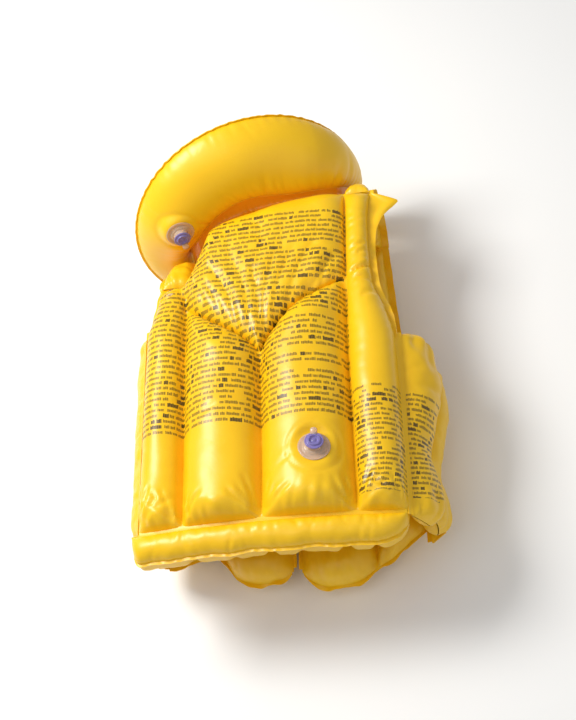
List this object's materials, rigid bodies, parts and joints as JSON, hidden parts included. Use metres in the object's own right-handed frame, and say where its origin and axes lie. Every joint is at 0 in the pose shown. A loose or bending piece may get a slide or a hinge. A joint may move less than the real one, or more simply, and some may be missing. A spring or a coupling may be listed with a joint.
{
  "type": "inflatable life jacket",
  "caption": "Child's inflatable swim vest lying on its front: tubed back, side and front panels, crescent collar, oral valves, and webbing straps with side-release buckles.",
  "frame": {"origin": "centre of the whole vest's footprint, on the surface it lies on", "axes": "+Y from the hem to the collar, +Z from the front panels up to the back panel, +X to the right seen from behind with the collar up"},
  "size_m": [0.2869, 0.4305, 0.1956],
  "materials": {
    "pvc_film": "satin-gloss yellow PVC film",
    "valve_body": "clear soft PVC, faint pink tint",
    "valve_plug": "translucent blue-violet soft PVC",
    "webbing": "woven black webbing",
    "buckle": "moulded black acetal"
  },
  "bodies": {
    "vest": {"back_outer_film": "pvc_film", "back_inner_film": "pvc_film", "hem_tube": "pvc_film", "left_side_outer_film": "pvc_film", "left_side_inner_film": "pvc_film", "right_side_outer_film": "pvc_film", "right_side_inner_film": "pvc_film", "left_shoulder_outer_film": "pvc_film", "left_shoulder_inner_film": "pvc_film", "right_shoulder_outer_film": "pvc_film", "right_shoulder_inner_film": "pvc_film", "back_valve_body": "valve_body", "back_valve_flap": "valve_body"},
    "left_front": {"left_front_outer_film": "pvc_film", "left_front_inner_film": "pvc_film", "left_strap_patches": "pvc_film", "left_webbing": "webbing", "buckle_sockets": "buckle"},
    "right_front": {"right_front_outer_film": "pvc_film", "right_front_inner_film": "pvc_film", "right_strap_patches": "pvc_film", "right_webbing": "webbing", "front_valve_body": "valve_body", "front_valve_flap": "valve_body"},
    "collar": {"collar_lower_film": "pvc_film", "collar_upper_film": "pvc_film", "collar_valve_body": "valve_body", "collar_valve_flap": "valve_body"},
    "back_plug": {"back_valve_plug": "valve_plug"},
    "collar_plug": {"collar_valve_plug": "valve_plug"},
    "front_plug": {"front_valve_plug": "valve_plug"},
    "lower_tongue": {"lower_buckle_tongue": "buckle"},
    "upper_tongue": {"upper_buckle_tongue": "buckle"},
    "lower_prong_a": {"lower_buckle_prong_a": "buckle"},
    "lower_prong_b": {"lower_buckle_prong_b": "buckle"},
    "upper_prong_a": {"upper_buckle_prong_a": "buckle"},
    "upper_prong_b": {"upper_buckle_prong_b": "buckle"}
  },
  "joints": [
    {"name": "left_front_open", "type": "hinge", "parent": "vest", "child": "left_front", "pos_m": [-0.124, -0.1864, 0.0244], "axis": [0, 1, 0], "range_deg": [0, 80]},
    {"name": "right_front_open", "type": "hinge", "parent": "vest", "child": "right_front", "pos_m": [0.1205, -0.1864, 0.0244], "axis": [0, -1, 0], "range_deg": [0, 80]},
    {"name": "collar_tilt", "type": "hinge", "parent": "vest", "child": "collar", "pos_m": [-0.012, 0.1429, 0.1144], "axis": [0.9706, 0.2316, 0.0662], "range_deg": [0, 12]},
    {"name": "back_plug_pull", "type": "slide", "parent": "vest", "child": "back_plug", "axis": [0.172, 0.1392, 0.9752], "range_m": [0, 0.009]},
    {"name": "collar_plug_pull", "type": "slide", "parent": "collar", "child": "collar_plug", "axis": [0.3067, -0.944, 0.1219], "range_m": [0, 0.009]},
    {"name": "front_plug_pull", "type": "slide", "parent": "right_front", "child": "front_plug", "axis": [0, 0, -1], "range_m": [0, 0.009]},
    {"name": "lower_strap_adjust", "type": "slide", "parent": "right_front", "child": "lower_tongue", "axis": [1, 0, 0], "range_m": [0, 0.012]},
    {"name": "upper_strap_adjust", "type": "slide", "parent": "right_front", "child": "upper_tongue", "axis": [1, 0, 0], "range_m": [0, 0.012]},
    {"name": "lower_prong_a_squeeze", "type": "hinge", "parent": "lower_tongue", "child": "lower_prong_a", "pos_m": [0.0286, -0.1172, 0.0044], "axis": [0, 0, 1], "range_deg": [0, 6], "stiffness_Nm_per_rad": 0.0001},
    {"name": "lower_prong_b_squeeze", "type": "hinge", "parent": "lower_tongue", "child": "lower_prong_b", "pos_m": [0.0286, -0.1356, 0.0044], "axis": [0, 0, -1], "range_deg": [0, 6], "stiffness_Nm_per_rad": 0.0001},
    {"name": "upper_prong_a_squeeze", "type": "hinge", "parent": "upper_tongue", "child": "upper_prong_a", "pos_m": [0.0286, -0.0372, 0.0044], "axis": [0, 0, 1], "range_deg": [0, 6], "stiffness_Nm_per_rad": 0.0001},
    {"name": "upper_prong_b_squeeze", "type": "hinge", "parent": "upper_tongue", "child": "upper_prong_b", "pos_m": [0.0286, -0.0556, 0.0044], "axis": [0, 0, -1], "range_deg": [0, 6], "stiffness_Nm_per_rad": 0.0001}
  ]
}
